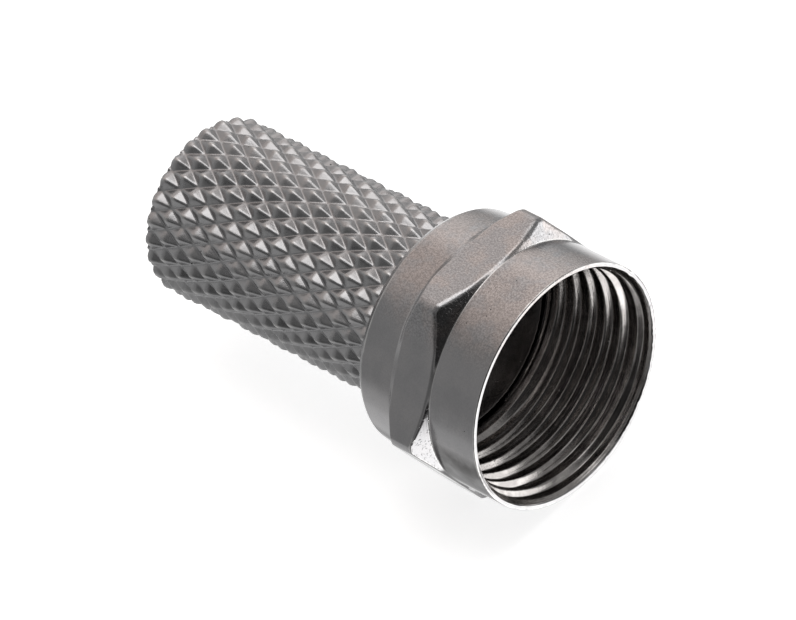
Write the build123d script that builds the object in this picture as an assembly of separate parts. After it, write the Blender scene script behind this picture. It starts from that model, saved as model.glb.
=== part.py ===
from build123d import *
import math
import os

# A twist-on coaxial plug. A flanged ferrule is pressed into a knurled barrel, and a hexagonal
# coupling nut turns freely on it, with its back lip held between the flange and the barrel.
# Frame: the origin is the middle of the mating face, where the socket's end meets the flange.
# +X runs along the plug's axis and out of the nut's mouth, +Z is up, and a flat of the nut is down.
# All sizes are in millimetres and all angles in degrees.

# Coupling nut: thread and mouth
thread_diameter = 9.525
thread_pitch = 25.4 / 32
thread_depth = 5.0
lead_in = 0.05

# Coupling nut: outside, from the mouth back
ring_wall = 0.1875
rim_bevel = 0.05
ring_length = 2.27
flat_rise = 0.05
corner_turning = 0.09
front_slope = 31.0
ridge_length = 1.0
rear_slope = 38.0
collar_taper = 0.164
back_bevel = 0.18
lip_thickness = 0.53

# Inner ferrule
core_bore_diameter = 4.0
ferrule_wall = 0.4
flange_thickness = 0.55
seat_length = 1.95

# Knurled barrel
barrel_length = 12.23
jacket_step = 0.5
web_relief = 0.1
barrel_wall = 0.83
end_bevel = 0.18
bore_bevel = 0.27

# Diamond knurl: grooves in each direction, their angle to the axis and their depth, then where the
# first row of diamonds lies from the tail, how it is clocked, and how far the rows drift per mm
knurl_starts = 26
knurl_angle = 31.0
groove_depth = 0.33
knurl_offset = 0.22
knurl_clock = 12.1
knurl_drift = 0.9

# Clearances of the turning nut
flange_gap = 0.23
lip_gap = 0.1
lip_running_gap = 0.08
shoulder_gap = 0.14

# Radii that follow
thread_radius = thread_diameter / 2
thread_height = 0.5413 * thread_pitch
pocket_radius = thread_radius - thread_height
flange_radius = pocket_radius - flange_gap
core_bore_radius = core_bore_diameter / 2
shank_radius = core_bore_radius + ferrule_wall
lip_hole_radius = shank_radius + lip_running_gap
jacket_radius = shank_radius + jacket_step
crest_radius = jacket_radius + barrel_wall
groove_radius = crest_radius - groove_depth
ring_radius = thread_radius + ring_wall
flat_radius = ring_radius + flat_rise
corner_radius = flat_radius / math.cos(math.pi / 6) - corner_turning
collar_end_radius = ring_radius - collar_taper

# Stations along the axis that follow, from the mouth to the tail
mouth_x = thread_depth
thread_front_x = mouth_x - lead_in
ring_back_x = mouth_x - ring_length
ridge_front_x = ring_back_x - (corner_radius - ring_radius) * math.tan(math.radians(front_slope))
ridge_back_x = ridge_front_x - ridge_length
collar_front_x = ridge_back_x - (corner_radius - ring_radius) * math.tan(math.radians(rear_slope))
flange_back_x = -flange_thickness
lip_front_x = flange_back_x - lip_gap
nut_back_x = lip_front_x - lip_thickness
shoulder_x = nut_back_x - shoulder_gap
ferrule_back_x = shoulder_x - seat_length
web_back_x = ferrule_back_x - web_relief
tail_x = shoulder_x - barrel_length

# Knurl pitches that follow
knurl_step = 360 / knurl_starts
crest_pitch = 2 * math.pi * crest_radius / knurl_starts
row_spacing = crest_pitch / math.tan(math.radians(knurl_angle)) / 2


def turned(outline):
    """A piece as the lathe leaves it: corners given as (x, radius), turned about the plug's axis."""
    section = make_face(Polyline(*outline, close=True))
    return revolve(section, Axis.X)


def coupling_nut():
    """Hexagonal bar, turned to its outline and bored from the mouth to the back lip."""
    bar = extrude(
        Plane.YZ.offset(nut_back_x) * RegularPolygon(flat_radius, 6, major_radius=False),
        mouth_x - nut_back_x,
    )
    outline = [
        (mouth_x, thread_radius + lead_in),
        (mouth_x, ring_radius - rim_bevel),
        (mouth_x - rim_bevel, ring_radius),
        (ring_back_x, ring_radius),
        (ridge_front_x, corner_radius),
        (ridge_back_x, corner_radius),
        (collar_front_x, ring_radius),
        (nut_back_x + back_bevel, collar_end_radius),
        (nut_back_x, collar_end_radius - back_bevel),
        (nut_back_x, lip_hole_radius),
        (lip_front_x, lip_hole_radius),
        (lip_front_x, pocket_radius),
        (0, pocket_radius),
        (0, thread_radius),
        (thread_front_x, thread_radius),
    ]
    return bar & turned(outline)


def inner_ferrule():
    """Thin bush with a flange: the flange traps the nut, and the shank is pressed into the barrel."""
    outline = [
        (0, core_bore_radius),
        (0, flange_radius),
        (flange_back_x, flange_radius),
        (flange_back_x, shank_radius),
        (ferrule_back_x, shank_radius),
        (ferrule_back_x, core_bore_radius),
    ]
    return turned(outline)


def knurl_point(row, half_step, radius):
    """A point of the knurl's net. Rows run along the axis and half steps round it."""
    x = tail_x + knurl_offset + row * row_spacing
    angle = math.radians(knurl_clock + half_step * knurl_step / 2 + knurl_drift * (x - tail_x))
    return Vector(x, radius * math.cos(angle), radius * math.sin(angle))


def facet(*corners):
    """One flat triangle of the knurl."""
    return Face(Wire.make_polygon(corners, close=True))


def knurled_bar():
    """Bar stock with crossed grooves: each diamond is a pyramid between four groove crossings."""
    first_row = -3
    last_row = math.ceil(barrel_length / row_spacing) + 3
    half_steps = range(2 * knurl_starts)
    facets = []
    for row in range(first_row, last_row + 1):
        for half_step in half_steps:
            if (row + half_step) % 2:
                continue
            crest = knurl_point(row, half_step, crest_radius)
            ahead = knurl_point(row + 1, half_step, groove_radius)
            behind = knurl_point(row - 1, half_step, groove_radius)
            left = knurl_point(row, half_step + 1, groove_radius)
            right = knurl_point(row, half_step - 1, groove_radius)
            facets.append(facet(crest, ahead, left))
            facets.append(facet(crest, left, behind))
            facets.append(facet(crest, behind, right))
            facets.append(facet(crest, right, ahead))
    for row, outward in ((first_row, -1), (last_row, 1)):
        middle = knurl_point(row + 2 * outward, 0, 0)
        for half_step in half_steps:
            tip = half_step + (row + half_step) % 2
            valley = half_step + (row + half_step + 1) % 2
            tip_point = knurl_point(row + outward, tip, groove_radius)
            valley_point = knurl_point(row, valley, groove_radius)
            facets.append(facet(middle, tip_point, valley_point))
    return Solid(Shell(facets))


def knurled_barrel():
    """Knurled bar, cut to length, bevelled at both ends and bored for the jacket and the ferrule."""
    clear_radius = crest_radius + end_bevel
    outline = [
        (tail_x, jacket_radius + bore_bevel),
        (tail_x, crest_radius - end_bevel),
        (tail_x + 2 * end_bevel, clear_radius),
        (shoulder_x - 2 * end_bevel, clear_radius),
        (shoulder_x, crest_radius - end_bevel),
        (shoulder_x, shank_radius),
        (web_back_x, shank_radius),
        (web_back_x, jacket_radius),
        (tail_x + bore_bevel, jacket_radius),
    ]
    return knurled_bar() & turned(outline)


os.makedirs("parts", exist_ok=True)
export_step(coupling_nut(), "parts/coupling_nut.step")
export_step(inner_ferrule(), "parts/inner_ferrule.step")
export_step(knurled_barrel(), "parts/knurled_barrel.step")
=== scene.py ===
# %% [markdown]
# # A twist-on coaxial plug in dark nickel
#
# The real plug is three turned brass pieces with a dark nickel plate: a hexagonal coupling nut, a
# barrel with a diamond knurl, and a thin flanged ferrule that holds the two together. It is barely
# 20 mm long, so what makes it look real is small: eased edges, a true thread in the mouth, the
# crossed grooves of the knurl, and a metal that mirrors a soft studio unevenly.
#
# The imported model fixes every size. This lesson dresses it without moving anything.

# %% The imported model
import math
import random

import bpy
from mathutils import Matrix, Vector
from mathutils.noise import noise as ripple


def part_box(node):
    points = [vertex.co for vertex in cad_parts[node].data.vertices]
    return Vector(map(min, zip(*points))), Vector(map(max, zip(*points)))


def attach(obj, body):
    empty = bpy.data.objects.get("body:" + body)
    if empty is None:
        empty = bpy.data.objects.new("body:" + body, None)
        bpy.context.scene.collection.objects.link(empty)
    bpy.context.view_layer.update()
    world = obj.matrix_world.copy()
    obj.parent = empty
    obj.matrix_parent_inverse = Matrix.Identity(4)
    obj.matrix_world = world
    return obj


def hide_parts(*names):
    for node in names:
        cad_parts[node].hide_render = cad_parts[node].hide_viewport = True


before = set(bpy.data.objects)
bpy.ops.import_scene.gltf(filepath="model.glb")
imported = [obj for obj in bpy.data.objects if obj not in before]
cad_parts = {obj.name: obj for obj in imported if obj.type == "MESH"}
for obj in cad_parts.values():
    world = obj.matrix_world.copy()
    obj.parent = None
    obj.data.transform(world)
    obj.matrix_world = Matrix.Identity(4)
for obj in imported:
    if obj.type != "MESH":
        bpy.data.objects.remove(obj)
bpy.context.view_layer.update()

MM = 0.001
for name in ("coupling_nut", "knurled_barrel", "inner_ferrule"):
    low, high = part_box(name)
    print(name, "x from", round(low.x / MM, 3), "to", round(high.x / MM, 3), "mm")

# %% [markdown]
# ## The camera
#
# The photograph was taken from above the nut's side with a long lens: the plug lies with its mouth
# towards us and to the right. A camera can be placed by eye, but here its angles were worked out
# from the plug itself. The ellipses of the mouth and of the collar give the direction, and their
# sizes give the distance. The roll is real too: the camera was tipped a little to the left.

# %% Camera
VIEW_AZIMUTH = math.radians(52.73)
VIEW_HEIGHT = math.radians(42.486)
VIEW_ROLL = math.radians(-14.316)
VIEW_DISTANCE = 300.45 * MM
VIEW_TARGET = Vector((-3.273, -0.381, 0)) * MM
SENSOR_WIDTH = 36.0
FOCAL_PIXELS = 8000
PICTURE_WIDTH = 796


def place_camera():
    """Looks along the view direction, tipped by the roll, with the target in the middle."""
    ahead = Vector((
        -math.sin(VIEW_AZIMUTH) * math.cos(VIEW_HEIGHT),
        math.cos(VIEW_AZIMUTH) * math.cos(VIEW_HEIGHT),
        -math.sin(VIEW_HEIGHT),
    ))
    level = Vector((math.cos(VIEW_AZIMUTH), math.sin(VIEW_AZIMUTH), 0))
    upright = level.cross(ahead)
    right = math.cos(VIEW_ROLL) * level + math.sin(VIEW_ROLL) * upright
    up = math.cos(VIEW_ROLL) * upright - math.sin(VIEW_ROLL) * level
    lens = bpy.data.cameras.new("camera")
    lens.sensor_width = SENSOR_WIDTH
    lens.lens = FOCAL_PIXELS / PICTURE_WIDTH * SENSOR_WIDTH
    lens.clip_start = 1 * MM
    lens.clip_end = 10
    camera = bpy.data.objects.new("camera", lens)
    bpy.context.scene.collection.objects.link(camera)
    turned = Matrix((right, up, -ahead)).transposed().to_4x4()
    camera.matrix_world = Matrix.Translation(VIEW_TARGET - ahead * VIEW_DISTANCE) @ turned
    bpy.context.scene.camera = camera
    return camera


camera = place_camera()
print("camera at", [round(v, 4) for v in camera.location], "lens", round(camera.data.lens, 1), "mm")

# %% [markdown]
# ## Sizes
#
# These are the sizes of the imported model, in millimetres, with a few that only the dressed pieces
# have: the roundings, the thread's form and the jacket thread inside the barrel. A real edge is
# never sharp. Plating and tumbling round it by a few hundredths of a millimetre, and that is the
# line of light that the eye looks for.

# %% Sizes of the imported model
MOUTH_X = 5.0
RING_RADIUS = 4.95
RING_BACK_X = 2.73
FLAT_RADIUS = 5.0
CORNER_RADIUS = FLAT_RADIUS / math.cos(math.pi / 6) - 0.0905
FRONT_SLOPE = math.tan(math.radians(31))
REAR_SLOPE = math.tan(math.radians(38))
RIDGE_FRONT_X = RING_BACK_X - (CORNER_RADIUS - RING_RADIUS) * FRONT_SLOPE
RIDGE_BACK_X = RIDGE_FRONT_X - 1.0
COLLAR_FRONT_X = RIDGE_BACK_X - (CORNER_RADIUS - RING_RADIUS) * REAR_SLOPE
NUT_BACK_X = -1.18
COLLAR_END_RADIUS = RING_RADIUS - 0.164
BACK_BEVEL = 0.18
BACK_REACH = 0.26
LIP_FRONT_X = -0.65
LIP_HOLE_RADIUS = 2.48
THREAD_RADIUS = 4.7625
THREAD_PITCH = 25.4 / 32
THREAD_CREST = THREAD_RADIUS - 0.5413 * THREAD_PITCH
MOUTH_RADIUS = THREAD_RADIUS + 0.03
FLANGE_RADIUS = THREAD_CREST - 0.23
FLANGE_BACK_X = -0.55
SHANK_RADIUS = 2.4
CORE_RADIUS = 2.0
SHOULDER_X = -1.32
FERRULE_BACK_X = -3.27
WEB_BACK_X = -3.37
TAIL_X = -13.55
JACKET_RADIUS = 2.9
BORE_BEVEL = 0.27
CREST_RADIUS = 3.73
GROOVE_RADIUS = 3.40
END_BEVEL = 0.18
KNURL_STARTS = 26
KNURL_OFFSET = 0.22
KNURL_CLOCK = 12.1
KNURL_DRIFT = 0.9
ROW_SPACING = 2 * math.pi * CREST_RADIUS / KNURL_STARTS / math.tan(math.radians(31)) / 2

# %% [markdown]
# ## How the pieces are made
#
# A lathe piece could be a Screw modifier on an outline, and a hexagon could be cut with a Boolean.
# Booleans leave slivers that spoil the rounding of edges, so each piece here is a grid instead:
# columns of points that run along the piece, one column for each angle round it. Every column has
# the same number of points, so the columns sew together into clean four-sided faces. The hexagon
# is only a column whose radius changes with the angle.
#
# Each corner of an outline is written with the radius of its rounding. `eased` turns it into an
# arc, with a point close before and after it, so that the shading of the flats stays flat. The same
# arcs are marked as edges, and the finish reads that mark later to show where the plate is worn.

# %% Outlines with rounded corners
ARC_STEPS = 3
HOLD = 0.035
CRISP = 0.13


def eased(corners):
    """Rounds an outline. Corners are (x, radius, rounding), and the points (x, radius, edge)."""
    first, last = corners[0], corners[-1]
    points = [(first[0], first[1], 0.0)]
    for before, corner, after in zip(corners, corners[1:], corners[2:]):
        here = Vector(corner[:2])
        back = Vector(before[:2]) - here
        ahead = Vector(after[:2]) - here
        turn = math.pi - back.angle(ahead)
        room = 0.42 * min(back.length, ahead.length)
        reach = min(corner[2] * math.tan(turn / 2), room)
        hold = min(HOLD, 0.3 * min(back.length, ahead.length))
        start = here + back.normalized() * reach
        end = here + ahead.normalized() * reach
        held = here + back.normalized() * (reach + hold)
        points.append((held.x, held.y, 0.0))
        for step in range(ARC_STEPS + 1):
            t = step / ARC_STEPS
            place = start * (1 - t) ** 2 + here * 2 * t * (1 - t) + end * t ** 2
            points.append((place.x, place.y, float(corner[2] < CRISP)))
        held = here + ahead.normalized() * (reach + hold)
        points.append((held.x, held.y, 0.0))
    points.append((last[0], last[1], 0.0))
    return points


# %% Sewing columns into a mesh
MERGE = 0.0004


class Skin:
    """Points in millimetres, faces between them, and the marks that the finish reads."""

    def __init__(self):
        self.points = []
        self.faces = []
        self.marks = {"edge": [], "cut": [], "bore": [], "painted_shade": []}
        self.known = {}

    def point(self, x, radius, angle, edge=0.0, cut=0.0, bore=0.0, painted_shade=0.0):
        """Adds a point, or finds the one that already lies there."""
        place = (x, radius * math.cos(angle), radius * math.sin(angle))
        key = tuple(round(v / MERGE) for v in place)
        if key not in self.known:
            self.known[key] = len(self.points)
            self.points.append(place)
            for kind, value in zip(self.marks, (edge, cut, bore, painted_shade)):
                self.marks[kind].append(value)
        return self.known[key]

    def face(self, *corners):
        """Adds a face, without the corners that fell together."""
        kept = [c for i, c in enumerate(corners) if c != corners[i - 1]]
        if len(set(kept)) > 2:
            self.faces.append(kept)

    def sew(self, columns):
        """Joins neighbouring columns of points all the way round."""
        for here, there in zip(columns, columns[1:] + columns[:1]):
            for i in range(len(here) - 1):
                self.face(here[i], there[i], there[i + 1], here[i + 1])

    def build(self, name, body, node):
        """Makes the piece, smooth all over, and lets it stand for its plain node."""
        mesh = bpy.data.meshes.new(name)
        mesh.from_pydata([[v * MM for v in p] for p in self.points], [], self.faces)
        mesh.validate()
        for kind, values in self.marks.items():
            mesh.attributes.new(kind, "FLOAT", "POINT").data.foreach_set("value", values)
        mesh.shade_smooth()
        piece = bpy.data.objects.new(name, mesh)
        bpy.context.scene.collection.objects.link(piece)
        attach(piece, body)
        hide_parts(node)
        triangles = sum(len(f) - 2 for f in self.faces)
        print(name, "has", triangles, "triangles")
        return piece


# %% [markdown]
# ## The coupling nut, outside
#
# The nut is turned from hexagonal bar. The lathe leaves a round ring at the mouth and a tapered
# collar at the back, and where it cuts into the hexagon it leaves the two cones whose edges curve
# across each flat. The six corners are turned off a little, so they are narrow bands and not lines.

# %% The mouth's small countersink
BORE_END_X = MOUTH_X - 0.035
COUNTERSINK = 0.55


def mouth_opening(x):
    """Radius of the countersink at the mouth."""
    return MOUTH_RADIUS - COUNTERSINK * (MOUTH_X - x)


# %% The hexagon's columns
CREASE = math.degrees(math.acos(FLAT_RADIUS / CORNER_RADIUS))
FLAT_STEPS = 18
CORNER_EASE = 0.05
SOFT_STEP = 0.25
FRONT_STEP = 0.13
CRISP_RIDGE = 0.08
WORN_RIDGE = 0.27
# Where the ring gets its painted shade: a darker, mottled reflection painted into the plate's colour on its near side.
PAINTED_SHADE_PLACE = math.radians(-170)
PAINTED_SHADE_REACH = math.radians(13)
PAINTED_SHADE_FADE = math.radians(6)
RIM_NICK = 0.085
RIM_NICK_SIDE = math.radians(-15)
RIM_NICK_RATE = 28


def softer_lower(a, b, ease):
    """The lower of two heights, with the place where they cross rounded."""
    overlap = max(ease - abs(a - b), 0) / ease
    return min(a, b) - overlap ** 2 * ease / 4


def nut_angles():
    """Angles of the columns: even across each flat, and closer together at the corners."""
    half = [1.5 * i for i in range(FLAT_STEPS + 1)] + [27.7, 28.15, CREASE, 28.7, 29.3]
    sector = [-a for a in reversed(half[1:])] + half + [30]
    return [math.radians(60 * side - 90 + a) for side in range(6) for a in sector]


def hexagon_radius(angle):
    """Distance from the axis to the turned hexagon at an angle, with a flat facing down."""
    off_flat = (math.degrees(angle) + 90 + 30) % 60 - 30
    flat = FLAT_RADIUS / math.cos(math.radians(off_flat))
    return softer_lower(flat, CORNER_RADIUS, CORNER_EASE)


def rim_nick(angle):
    """Depth of the little nicks in the mouth's rim, which are all on one side."""
    side = max(math.cos(angle - RIM_NICK_SIDE), 0)
    place = Vector((math.cos(angle), math.sin(angle), 0)) * RIM_NICK_RATE
    return RIM_NICK * side * max(ripple(place), 0)


def ring_painted_shade(angle):
    """How dark the painted shade on the ring's near side is at an angle: a darker reflection painted into its colour.
    """
    away = abs((angle - PAINTED_SHADE_PLACE + math.pi) % (2 * math.pi) - math.pi)
    return min(max((PAINTED_SHADE_REACH - away) / PAINTED_SHADE_FADE, 0), 1)


def on_front_cone(x, radius):
    """Whether a point lies on the cone that the lathe cut into the hexagon's front."""
    cone = RING_RADIUS + (RING_BACK_X - x) / FRONT_SLOPE
    return radius > RING_RADIUS + 0.01 and abs(radius - cone) < 0.03


def nut_outline(angle):
    """The nut's outline at an angle, from the mouth round the outside to the flange's pocket."""
    ridge = hexagon_radius(angle)
    ridge_front = RING_BACK_X - max((ridge - RING_RADIUS) * FRONT_SLOPE, FRONT_STEP)
    ridge_back = COLLAR_FRONT_X + max((ridge - RING_RADIUS) * REAR_SLOPE, SOFT_STEP)
    rim_x = MOUTH_X - rim_nick(angle)
    return eased([
        (BORE_END_X, mouth_opening(BORE_END_X), 0),
        (rim_x, MOUTH_RADIUS, 0.02),
        (rim_x, RING_RADIUS, 0.05),
        (RING_BACK_X, RING_RADIUS, 0.05),
        (ridge_front, ridge, CRISP_RIDGE + WORN_RIDGE * min(max(2 * math.sin(angle), 0), 1)),
        (ridge_back, ridge, 0.15),
        (COLLAR_FRONT_X, RING_RADIUS, 0.2),
        (NUT_BACK_X + BACK_REACH, COLLAR_END_RADIUS, 0.12),
        (NUT_BACK_X, COLLAR_END_RADIUS - BACK_BEVEL, 0.1),
        (NUT_BACK_X, LIP_HOLE_RADIUS, 0.06),
        (LIP_FRONT_X, LIP_HOLE_RADIUS, 0.05),
        (LIP_FRONT_X, THREAD_CREST, 0.06),
        (THREAD_START, THREAD_CREST, 0),
    ])


# %% [markdown]
# ## The thread in the mouth
#
# The socket's thread is a standard one, 32 turns to the inch. A thread could be a Screw modifier on
# a V, but it has to run out at the pocket and be cut away by the chamfer at the mouth. So its
# rows of points climb with the thread, one pitch for a full turn, and are cut off at both ends.
# The seam closes on a row one pitch further along. Plating rounds the crests, and that is why the
# photograph shows broad soft bands of light with narrow dark grooves between them.

# %% The thread's form
THREAD_START = 0.0
THREAD_ROWS = 20
WORN_CREST = 0.09
WORN_GROOVE = 0.06
RUN_OUT = 0.7
WORN_START = 0.75
START_WEAR = 1.1
SNAP = 0.012


def thread_depth(turns):
    """Depth of the thread, 0 at a crest and 1 in the groove, for a position in turns."""
    across = abs(2 * (turns % 1) - 1)
    flank = min(max((across - 0.2) / 0.6, 0), 1)
    steep = 0.5 - 0.5 * math.cos(math.pi * flank)
    gentle = 0.5 - 0.5 * math.cos(math.pi * across)
    return 0.85 * steep + 0.15 * gentle


def thread_radius(x, angle):
    """The bore's radius: crest plus thread, run out at the pocket, opened by the chamfer."""
    depth = thread_depth(x / THREAD_PITCH - angle / (2 * math.pi))
    fade = min(max((x - THREAD_START) / RUN_OUT, 0), 1)
    crest, groove = THREAD_CREST + WORN_CREST * fade, THREAD_RADIUS - WORN_GROOVE
    crest += (groove - crest) * WORN_START * min(max((x - MOUTH_X) / START_WEAR + 1, 0), 1)
    threaded = crest + (groove - crest) * depth * fade
    return max(threaded, mouth_opening(x))


def thread_columns(skin, angles):
    """Columns whose rows climb with the thread, cut off at the run-out and at the mouth."""
    start, end = THREAD_START, BORE_END_X
    step = THREAD_PITCH / THREAD_ROWS
    rows = math.ceil((end - start + 2 * THREAD_PITCH) / step) + 1
    columns = []
    for angle in angles:
        turn = (angle - angles[0]) / (2 * math.pi)
        column = []
        for row in range(rows):
            x = start - THREAD_PITCH + (turn * THREAD_ROWS + row) * step
            x = start if x < start + SNAP else end if x > end - SNAP else x
            column.append(skin.point(x, thread_radius(x, angle), angle, bore=1.0))
        columns.append(column)
    return columns


# %% The nut
def make_nut():
    """Outside and thread as one closed skin."""
    skin = Skin()
    angles = nut_angles()
    outside = []
    for a in angles:
        column = []
        for x, r, edge in nut_outline(a):
            # The ring's points carry the painted shade mark.
            painted_shade = ring_painted_shade(a) if x > RING_BACK_X else 0.0
            column.append(skin.point(x, r, a, edge, float(on_front_cone(x, r)), 0.0, painted_shade))
        outside.append(column)
    skin.sew([column[::-1] for column in outside])
    thread = thread_columns(skin, angles)
    for here, there in zip(thread, thread[1:]):
        for i in range(len(here) - 1):
            skin.face(here[i], here[i + 1], there[i + 1], there[i])
    here, there = thread[-1], thread[0]
    for i in range(len(here) - 1 - THREAD_ROWS):
        skin.face(here[i], here[i + 1], there[i + 1 + THREAD_ROWS], there[i + THREAD_ROWS])
    return skin.build("nut_turned_hexagon", "nut", "coupling_nut")


nut = make_nut()

# %% [markdown]
# ## The knurled barrel
#
# A knurl is two sets of parallel grooves that cross, 26 to the right and 26 to the left. What is
# left between them are small pyramids. It could be a bump in the material, but the outline of the
# barrel is visibly toothed, so it is in the mesh: a fine grid whose lines run along the rows of
# diamonds and round them, with each cell split along the groove that it lies beside. A knurling
# wheel pushes the metal up rather than cutting it, so the pyramids are a little uneven and their
# ridges are soft. Each one gets its own small error, from a seeded random draw.

# %% The knurl's surface
CELLS_ALONG = 8
CELLS_ROUND = 8
RIDGE_EASE = 0.3
FLANK_HOLLOW = 1.0
WORN_VALLEY = 0.03
WORN_TIP = 0.12
WANDER = 0.05
ROUGHEN = 0.009
ROWS = math.ceil((SHOULDER_X - TAIL_X) / ROW_SPACING)
dice = random.Random(7)
blunted = {
    (row, step): dice.uniform(0, 0.1) + (0.16 if dice.random() < 0.07 else 0)
    for row in range(-1, ROWS + 2)
    for step in range(2 * KNURL_STARTS)
}


def groove_height(across):
    """Height between two grooves of one set: 0 in a groove and 1 halfway to the next."""
    off = abs(across - round(across))
    return 1 - 2 * off


def knurl_height(row, step):
    """Height of the knurl, 0 to 1, at a place counted in half diamonds along and round."""
    one = groove_height((row + step) / 2)
    other = groove_height((row - step) / 2)
    height = softer_lower(one, other, RIDGE_EASE)
    height = max(height, 0) ** FLANK_HOLLOW
    near_row = round(row)
    near_step = round(step)
    if (near_row + near_step) % 2:
        along, round_it = row - near_row, step - near_step
        if abs(along) > abs(round_it):
            near_row += 1 if along > 0 else -1
        else:
            near_step += 1 if round_it > 0 else -1
    cap = 1 - WORN_TIP - blunted.get((near_row, near_step % (2 * KNURL_STARTS)), 0)
    return softer_lower(height, cap, 0.2)


def barrel_angle(x, step):
    """Angle of a column on the barrel: the rows of diamonds drift round it a little."""
    return math.radians(KNURL_CLOCK + step * 180 / KNURL_STARTS + KNURL_DRIFT * (x - TAIL_X))


def barrel_point(skin, row, step):
    """A point of the knurled outside, cut back by the bevel at either end."""
    x = TAIL_X + KNURL_OFFSET + row * ROW_SPACING
    angle = barrel_angle(x, step)
    place = Vector((x, CREST_RADIUS * math.cos(angle), CREST_RADIUS * math.sin(angle)))
    height = knurl_height(row + WANDER * ripple(place * 0.9), step + WANDER * ripple(place * 0.9 + Vector((40, 0, 0))))
    valley = GROOVE_RADIUS + WORN_VALLEY
    knurl = valley + (CREST_RADIUS - valley) * height
    knurl -= ROUGHEN * (1 + ripple(place * 4))
    bevel = CREST_RADIUS - END_BEVEL + min(x - TAIL_X, SHOULDER_X - x)
    tip = min(max((height - 0.6) / 0.2, 0), 1)
    return skin.point(x, softer_lower(knurl, bevel, 0.05), angle, tip)


def barrel_rows():
    """Row positions: even, with the two ends exactly at the tail and at the shoulder."""
    first = -KNURL_OFFSET / ROW_SPACING
    last = (SHOULDER_X - TAIL_X - KNURL_OFFSET) / ROW_SPACING
    inner = [i / CELLS_ALONG for i in range(math.ceil(last * CELLS_ALONG) + 1)]
    inner = [i / CELLS_ALONG for i in range(-3, 0)] + inner
    return [first] + [r for r in inner if first + 0.02 < r < last - 0.02] + [last]


def knurl_skin(skin, rows):
    """The knurled outside. Each cell is split along the groove that it lies beside."""
    steps = [i / CELLS_ROUND for i in range(2 * KNURL_STARTS * CELLS_ROUND)]
    grid = [[barrel_point(skin, row, step) for step in steps] for row in rows]
    for low, high, row in zip(grid, grid[1:], rows):
        for i, step in enumerate(steps):
            j = (i + 1) % len(steps)
            a, b, c, d = low[i], high[i], high[j], low[j]
            middle = row + 0.5 / CELLS_ALONG
            if (math.floor(middle) + math.floor(step)) % 2:
                skin.face(a, c, b)
                skin.face(a, d, c)
            else:
                skin.face(a, d, b)
                skin.face(b, d, c)
    return grid


# %% [markdown]
# ## The barrel's bore
#
# The plug is screwed onto the cable's jacket, so the bore has a coarse thread of its own. Only its
# first turns can be seen, from behind. It is made in the same way as the thread in the mouth, with
# a longer pitch and a flat land between the grooves.

# %% The jacket thread
JACKET_PITCH = 1.5
JACKET_GROOVE = 0.2
JACKET_ROWS = 8


def jacket_radius(x, angle):
    """The bore's radius: a land and a round groove for each turn, faded out at the far end."""
    across = abs(2 * ((x / JACKET_PITCH - angle / (2 * math.pi)) % 1) - 1)
    groove = max(1 - (across / 0.55) ** 2, 0)
    fade = min(max((WEB_BACK_X - 0.5 - x) / 1.2, 0), 1)
    bevel = JACKET_RADIUS + BORE_BEVEL - (x - TAIL_X)
    return max(JACKET_RADIUS + JACKET_GROOVE * groove * fade, bevel)


def jacket_columns(skin, steps, start, end):
    """Columns whose rows climb with the jacket thread."""
    climb = JACKET_PITCH / JACKET_ROWS
    rows = math.ceil((end - start + 2 * JACKET_PITCH) / climb) + 1
    columns = []
    for step in steps:
        turn = step / (2 * KNURL_STARTS)
        column = []
        for row in range(rows):
            x = start - JACKET_PITCH + (turn * JACKET_ROWS + row) * climb
            x = start if x < start + 2 * SNAP else end if x > end - 2 * SNAP else x
            angle = barrel_angle(x, step)
            column.append(skin.point(x, jacket_radius(x, angle), angle))
        columns.append(column)
    return columns


# %% The barrel
def end_ring(skin, outer, profile, steps, flip):
    """Closes an end: joins the knurled edge to the rings of an outline that leads to the bore."""
    rings = [outer]
    for x, radius, edge in profile:
        rings.append([skin.point(x, radius, barrel_angle(x, step), edge) for step in steps])
    for here, there in zip(rings, rings[1:]):
        for i in range(len(here)):
            j = (i + 1) % len(here)
            corners = (here[i], there[i], there[j], here[j])
            skin.face(*(corners[::-1] if flip else corners))


def make_barrel():
    """Knurl, both ends and the bore as one closed skin."""
    skin = Skin()
    rows = barrel_rows()
    grid = knurl_skin(skin, rows)
    steps = [i / CELLS_ROUND for i in range(2 * KNURL_STARTS * CELLS_ROUND)]
    tail = eased([
        (TAIL_X, GROOVE_RADIUS - 0.02, 0),
        (TAIL_X, JACKET_RADIUS + BORE_BEVEL, 0.06),
        (TAIL_X + 0.06, JACKET_RADIUS + BORE_BEVEL - 0.06, 0),
    ])
    end_ring(skin, grid[0], tail, steps, False)
    front = eased([
        (SHOULDER_X, GROOVE_RADIUS - 0.02, 0),
        (SHOULDER_X, SHANK_RADIUS, 0.05),
        (WEB_BACK_X, SHANK_RADIUS, 0.05),
        (WEB_BACK_X, JACKET_RADIUS, 0),
    ])
    end_ring(skin, grid[-1], front, steps, True)
    bore = jacket_columns(skin, steps, TAIL_X + 0.06, WEB_BACK_X)
    for here, there in zip(bore, bore[1:]):
        for i in range(len(here) - 1):
            skin.face(here[i], here[i + 1], there[i + 1], there[i])
    here, there = bore[-1], bore[0]
    for i in range(len(here) - 1 - JACKET_ROWS):
        skin.face(here[i], here[i + 1], there[i + 1 + JACKET_ROWS], there[i + JACKET_ROWS])
    return skin.build("barrel_diamond_knurl", "plug", "knurled_barrel")


barrel = make_barrel()

# %% [markdown]
# ## The inner ferrule
#
# A thin turned bush. Its flange is the seat that the socket's end meets at the bottom of the mouth.
# It is an ordinary lathe outline, closed on itself, with all its edges eased.

# %% The ferrule
FERRULE_STEPS = 128


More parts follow.
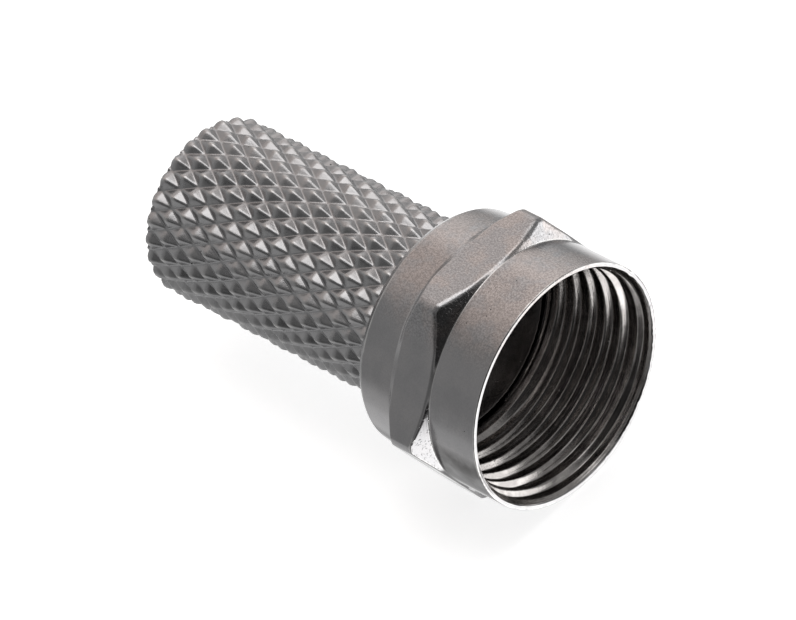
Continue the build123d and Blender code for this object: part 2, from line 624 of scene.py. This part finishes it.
def make_ferrule():
    """A closed outline turned about the axis."""
    middle = (FLANGE_BACK_X + FERRULE_BACK_X) / 2
    outline = eased([
        (middle, SHANK_RADIUS, 0),
        (FERRULE_BACK_X, SHANK_RADIUS, 0.05),
        (FERRULE_BACK_X, CORE_RADIUS, 0.05),
        (0, CORE_RADIUS, 0.08),
        (0, FLANGE_RADIUS, 0.08),
        (FLANGE_BACK_X, FLANGE_RADIUS, 0.08),
        (FLANGE_BACK_X, SHANK_RADIUS, 0.04),
        (middle, SHANK_RADIUS, 0),
    ])
    skin = Skin()
    angles = [2 * math.pi * i / FERRULE_STEPS for i in range(FERRULE_STEPS)]
    skin.sew([[skin.point(x, r, a, edge) for x, r, edge in outline[::-1]] for a in angles])
    return skin.build("ferrule_turned_bush", "plug", "inner_ferrule")


ferrule = make_ferrule()

# %% [markdown]
# ## The plate: one shared effect
#
# Dark nickel is a mirror that isn't quite even. Close up it has a fine grain from the bath, faint
# lines round it from the lathe, cloudy patches that are a shade warmer, a few pinholes, and bright
# worn edges. All three pieces share these, so they are one node group with its own amounts for
# each material. Everything is measured in millimetres on the piece, so it stays put from any side.

# %% Helpers for node trees
def node(tree, kind, **settings):
    """Adds a node and sets its properties."""
    made = tree.nodes.new(kind)
    for key, value in settings.items():
        setattr(made, key, value)
    return made


def maths(tree, operation, a, b=None, clamp=False):
    """A Math node on two values or sockets, and its result."""
    made = node(tree, "ShaderNodeMath", operation=operation, use_clamp=clamp)
    for socket, value in zip(made.inputs, (a, b)):
        if value is None:
            continue
        if isinstance(value, (int, float)):
            socket.default_value = value
        else:
            tree.links.new(value, socket)
    return made.outputs[0]


def ramp(tree, value, low, high, to_low=0.0, to_high=1.0):
    """A smooth Map Range from one span to another."""
    made = node(tree, "ShaderNodeMapRange", interpolation_type="SMOOTHSTEP")
    tree.links.new(value, made.inputs["Value"])
    for key, number in (("From Min", low), ("From Max", high), ("To Min", to_low), ("To Max", to_high)):
        if isinstance(number, (int, float)):
            made.inputs[key].default_value = number
        else:
            tree.links.new(number, made.inputs[key])
    return made.outputs["Result"]


def blend_colours(tree, amount, a, b):
    """Mixes two colours by an amount."""
    made = node(tree, "ShaderNodeMix", data_type="RGBA")
    for socket, value in ((made.inputs[0], amount), (made.inputs[6], a), (made.inputs[7], b)):
        if isinstance(value, (int, float, tuple)):
            socket.default_value = value
        else:
            tree.links.new(value, socket)
    return made.outputs[2]


def noise(tree, place, scale, detail=2.0, roughness=0.5):
    """Noise at a place, with its scale in turns per millimetre."""
    made = node(tree, "ShaderNodeTexNoise")
    tree.links.new(place, made.inputs["Vector"])
    made.inputs["Scale"].default_value = scale
    made.inputs["Detail"].default_value = detail
    made.inputs["Roughness"].default_value = roughness
    return made.outputs["Fac"]


# %% The shared group
def nickel_skin():
    """Grain, lathe lines, clouds, pinholes and worn edges, with a painted sheen on the top and painted shade on the
    ring, as colour, roughness and height.
    """
    tree = bpy.data.node_groups.new("nickel_skin", "ShaderNodeTree")
    inputs = (
        ("Plate", "NodeSocketColor"), ("Warm Plate", "NodeSocketColor"), ("Worn Edge", "NodeSocketColor"),
        ("Bore Tint", "NodeSocketColor"), ("Gloss", "NodeSocketFloat"), ("Grain", "NodeSocketFloat"),
        ("Upper Grain And Painted Sheen", "NodeSocketFloat"), ("Lathe Lines", "NodeSocketFloat"), ("Wear", "NodeSocketFloat"),
    )
    for name, kind in inputs:
        tree.interface.new_socket(name, in_out="INPUT", socket_type=kind)
    for name, kind in (("Colour", "NodeSocketColor"), ("Roughness", "NodeSocketFloat"), ("Height", "NodeSocketFloat")):
        tree.interface.new_socket(name, in_out="OUTPUT", socket_type=kind)
    given = node(tree, "NodeGroupInput").outputs
    result = node(tree, "NodeGroupOutput")

    where = node(tree, "ShaderNodeTexCoord").outputs["Object"]
    scaled = node(tree, "ShaderNodeVectorMath", operation="SCALE")
    tree.links.new(where, scaled.inputs[0])
    scaled.inputs["Scale"].default_value = 1 / MM
    place = scaled.outputs[0]
    split = node(tree, "ShaderNodeSeparateXYZ")
    tree.links.new(place, split.inputs[0])
    squares = maths(tree, "ADD", maths(tree, "POWER", split.outputs["Y"], 2.0), maths(tree, "POWER", split.outputs["Z"], 2.0))
    radius = maths(tree, "SQRT", squares)
    ring = node(tree, "ShaderNodeCombineXYZ")
    tree.links.new(split.outputs["X"], ring.inputs[0])
    tree.links.new(radius, ring.inputs[1])

    clouds = noise(tree, place, 0.75, 4.0, 0.6)
    grain = noise(tree, place, 13.0, 2.0, 0.65)
    lines = noise(tree, ring.outputs[0], 14.0, 2.0)
    flecks = ramp(tree, noise(tree, place, 9.0, 1.0), 0.58, 0.68)
    holes = node(tree, "ShaderNodeTexVoronoi")
    tree.links.new(place, holes.inputs["Vector"])
    holes.inputs["Scale"].default_value = 1.1
    hole = ramp(tree, holes.outputs["Distance"], 0.02, 0.05, 1.0, 0.0)
    marks = {
        kind: node(tree, "ShaderNodeAttribute", attribute_name=kind).outputs["Fac"]
        for kind in ("edge", "cut", "bore", "painted_shade")
    }
    worn = maths(tree, "MULTIPLY", marks["edge"], ramp(tree, noise(tree, place, 2.5, 3.0), 0.3, 0.6))
    worn = maths(tree, "MULTIPLY", worn, given["Wear"])
    # Painted sheen: above a height of 3.3 mm the colour gets warmer, with stronger speckles, where the light from
    # above falls; roughness and bump rise there too.
    upper_sheen_and_grain = maths(tree, "MULTIPLY", ramp(tree, split.outputs["Z"], 3.3, 4.5), given["Upper Grain And Painted Sheen"])

    warmth = ramp(tree, clouds, 0.42, 0.6, 0.0, maths(tree, "ADD", upper_sheen_and_grain, 0.15))
    colour = blend_colours(tree, warmth, given["Plate"], given["Warm Plate"])
    speck_low = maths(tree, "SUBTRACT", 0.97, maths(tree, "MULTIPLY", upper_sheen_and_grain, 0.16))
    speck_high = maths(tree, "ADD", 1.03, maths(tree, "MULTIPLY", upper_sheen_and_grain, 0.22))
    speck = ramp(tree, grain, 0.32, 0.68, speck_low, speck_high)
    speck = maths(tree, "MULTIPLY", speck, ramp(tree, clouds, 0.3, 0.7, 0.94, 1.06))
    speckled = node(tree, "ShaderNodeVectorMath", operation="SCALE")
    tree.links.new(colour, speckled.inputs[0])
    tree.links.new(speck, speckled.inputs["Scale"])
    colour = blend_colours(tree, maths(tree, "MULTIPLY", hole, 0.8), speckled.outputs[0], (0.05, 0.048, 0.045, 1))
    # Painted shade: the ring's near side is darkened in colour, mottled by noise, standing in for a darker reflection
    # there.
    shade_wisps = ramp(tree, noise(tree, place, 1.1, 2.0, 0.6), 0.3, 0.65, 0.55, 1.0)
    colour = blend_colours(tree, maths(tree, "MULTIPLY", marks["painted_shade"], shade_wisps), colour, (0.08, 0.077, 0.075, 1))
    colour = blend_colours(tree, worn, colour, given["Worn Edge"])
    smudges = node(tree, "ShaderNodeVectorMath", operation="SCALE")
    tree.links.new(given["Bore Tint"], smudges.inputs[0])
    tree.links.new(ramp(tree, noise(tree, place, 1.5, 3.0), 0.36, 0.64, 0.8, 1.08), smudges.inputs["Scale"])
    colour = blend_colours(tree, marks["bore"], colour, smudges.outputs[0])
    tree.links.new(colour, result.inputs["Colour"])

    rough = maths(tree, "MULTIPLY", given["Gloss"], ramp(tree, clouds, 0.3, 0.7, 0.8, 1.25))
    rough = maths(tree, "ADD", rough, ramp(tree, grain, 0.3, 0.7, -0.02, 0.03))
    rough = maths(tree, "ADD", rough, maths(tree, "MULTIPLY", upper_sheen_and_grain, 0.08))
    tree.links.new(maths(tree, "ADD", rough, maths(tree, "MULTIPLY", hole, 0.4)), result.inputs["Roughness"])

    fine = maths(tree, "ADD", maths(tree, "ADD", given["Grain"], upper_sheen_and_grain), marks["bore"])
    height = maths(tree, "MULTIPLY", grain, fine)
    turned = maths(tree, "ADD", given["Lathe Lines"], marks["bore"])
    height = maths(tree, "ADD", height, maths(tree, "MULTIPLY", lines, turned))
    height = maths(tree, "ADD", height, maths(tree, "MULTIPLY", flecks, marks["cut"]))
    height = maths(tree, "SUBTRACT", height, maths(tree, "MULTIPLY", hole, 1.0))
    tree.links.new(height, result.inputs["Height"])
    return tree


skin_group = nickel_skin()
print("shared group", skin_group.name, "has", len(skin_group.nodes), "nodes")


# %% The three finishes
def plated(name, colours, gloss, grain, upper_grain_and_sheen, lathe_lines, wear, bump):
    """A metal whose colour, roughness and bump come from the shared group."""
    material = bpy.data.materials.new(name)
    material.use_nodes = True
    tree = material.node_tree
    shader = tree.nodes["Principled BSDF"]
    shader.inputs["Metallic"].default_value = 1.0
    group = node(tree, "ShaderNodeGroup", node_tree=skin_group)
    for key, value in colours.items():
        group.inputs[key].default_value = (*value, 1)
    amounts = {
        "Gloss": gloss, "Grain": grain, "Upper Grain And Painted Sheen": upper_grain_and_sheen, "Lathe Lines": lathe_lines, "Wear": wear,
    }
    for key, value in amounts.items():
        group.inputs[key].default_value = value
    tree.links.new(group.outputs["Colour"], shader.inputs["Base Color"])
    tree.links.new(group.outputs["Roughness"], shader.inputs["Roughness"])
    raised = node(tree, "ShaderNodeBump")
    raised.inputs["Strength"].default_value = bump
    raised.inputs["Distance"].default_value = 0.01 * MM
    tree.links.new(group.outputs["Height"], raised.inputs["Height"])
    tree.links.new(raised.outputs["Normal"], shader.inputs["Normal"])
    return material


DARK_NICKEL = {
    "Plate": (0.40, 0.395, 0.40),
    "Warm Plate": (0.415, 0.385, 0.375),
    "Worn Edge": (0.62, 0.61, 0.60),
    "Bore Tint": (0.45, 0.428, 0.415),
}
KNURL_NICKEL = {**DARK_NICKEL, "Plate": (0.405, 0.403, 0.408), "Warm Plate": (0.41, 0.40, 0.395)}
# Only the nut gets the painted sheen on its top.
nut.data.materials.append(plated("dark_nickel_nut", DARK_NICKEL, 0.15, 0.1, 1.0, 0.3, 0.8, 0.5))
barrel.data.materials.append(plated("dark_nickel_knurl", KNURL_NICKEL, 0.29, 0.8, 0.0, 0.0, 0.6, 0.6))
ferrule.data.materials.append(plated("dark_nickel_ferrule", DARK_NICKEL, 0.2, 0.4, 0.0, 1.0, 0.6, 0.5))

# %% [markdown]
# ## The studio
#
# A bare metal shows nothing but its surroundings, so the studio matters more than the metal's
# colour. Area lights could do it, but their reflections have hard edges and this plug mirrors soft
# ones. So the room is painted on the world as a few soft lobes: a large bright box above and
# behind, a pale wall at the back, a dim side towards the camera, a dark gap in front of the mouth,
# and the lit table below. The table itself is a plain pale floor. It isn't mirrored, because the
# world already has its light, and that keeps the plug's lower side clean.

# %% World and floor
BASE_LIGHT = 0.335
BACKDROP = 1.0
WHITE = (1.0, 1.0, 1.0)
WARM = (1.0, 0.82, 0.74)
SOFT_BOXES = (
    # azimuth, height, radius of its even part, radius of its edge, strength, colour
    (130, 20, 12, 29, 0.45, WHITE),
    (155, 50, 15, 50, 0.36, WARM),
    (110, 75, 12, 27, 1.5, WHITE),
    (58, -9, 19, 28, 1.8, WHITE),
    (92, -6, 10, 24, 0.25, WHITE),
    (10, -50, 25, 38, 2.0, WHITE),
    (135, -35, 6, 26, 0.8, WHITE),
    (160, -20, 6, 18, 0.7, WHITE),
    (-172, 2, 14, 30, 0.15, WHITE),
    (-100, -28, 14, 32, 0.18, WHITE),
    (-136, -38, 6, 18, 0.2, WHITE),
    (-166, -47, 6, 17, 0.3, WHITE),
    (0, -90, 20, 70, 0.12, WHITE),
    (-18, 20, 28, 46, -0.30, WHITE),
    (-80, 45, 22, 40, -0.14, WHITE),
    (-88, 10, 12, 30, -0.14, WHITE),
    (-50, -22, 12, 26, -0.24, WHITE),
)


def soft_boxes():
    """Paints the world with soft round lobes, and shows the camera a plain backdrop instead."""
    world = bpy.data.worlds.new("studio")
    bpy.context.scene.world = world
    world.use_nodes = True
    tree = world.node_tree
    glow = tree.nodes["Background"]
    way = node(tree, "ShaderNodeTexCoord").outputs["Generated"]
    total = node(tree, "ShaderNodeCombineXYZ")
    for socket in total.inputs:
        socket.default_value = BASE_LIGHT
    total = total.outputs[0]
    for azimuth, height, even, edge, strength, colour in SOFT_BOXES:
        a, h = math.radians(azimuth), math.radians(height)
        dot = node(tree, "ShaderNodeVectorMath", operation="DOT_PRODUCT")
        tree.links.new(way, dot.inputs[0])
        dot.inputs[1].default_value = (math.cos(a) * math.cos(h), math.sin(a) * math.cos(h), math.sin(h))
        near, far = math.cos(math.radians(even)), math.cos(math.radians(edge))
        lobe = node(tree, "ShaderNodeVectorMath", operation="MULTIPLY_ADD")
        tree.links.new(ramp(tree, dot.outputs["Value"], far, near), lobe.inputs[0])
        lobe.inputs[1].default_value = [strength * c for c in colour]
        tree.links.new(total, lobe.inputs[2])
        total = lobe.outputs[0]
    floored = node(tree, "ShaderNodeVectorMath", operation="MAXIMUM")
    tree.links.new(total, floored.inputs[0])
    floored.inputs[1].default_value = (0.02, 0.02, 0.02)
    seen = node(tree, "ShaderNodeLightPath").outputs["Is Camera Ray"]
    shown = blend_colours(tree, seen, floored.outputs[0], (BACKDROP, BACKDROP, BACKDROP, 1))
    tree.links.new(shown, glow.inputs["Color"])


soft_boxes()


def pale_floor():
    """A plain disc at the height that the nut lies on."""
    low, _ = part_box("coupling_nut")
    bpy.ops.mesh.primitive_circle_add(vertices=96, radius=0.8, fill_type="NGON", location=(0, 0, low.z))
    floor = bpy.context.object
    floor.name = "floor"
    material = bpy.data.materials.new("pale_floor")
    material.use_nodes = True
    shader = material.node_tree.nodes["Principled BSDF"]
    shader.inputs["Base Color"].default_value = (0.9, 0.9, 0.9, 1)
    shader.inputs["Roughness"].default_value = 0.9
    shader.inputs["Specular IOR Level"].default_value = 0.1
    shader.inputs["Emission Color"].default_value = (1, 1, 1, 1)
    shader.inputs["Emission Strength"].default_value = 0.75
    floor.data.materials.append(material)
    floor.visible_glossy = False
    return floor


floor = pale_floor()


bpy.context.scene.view_settings.view_transform = "Standard"
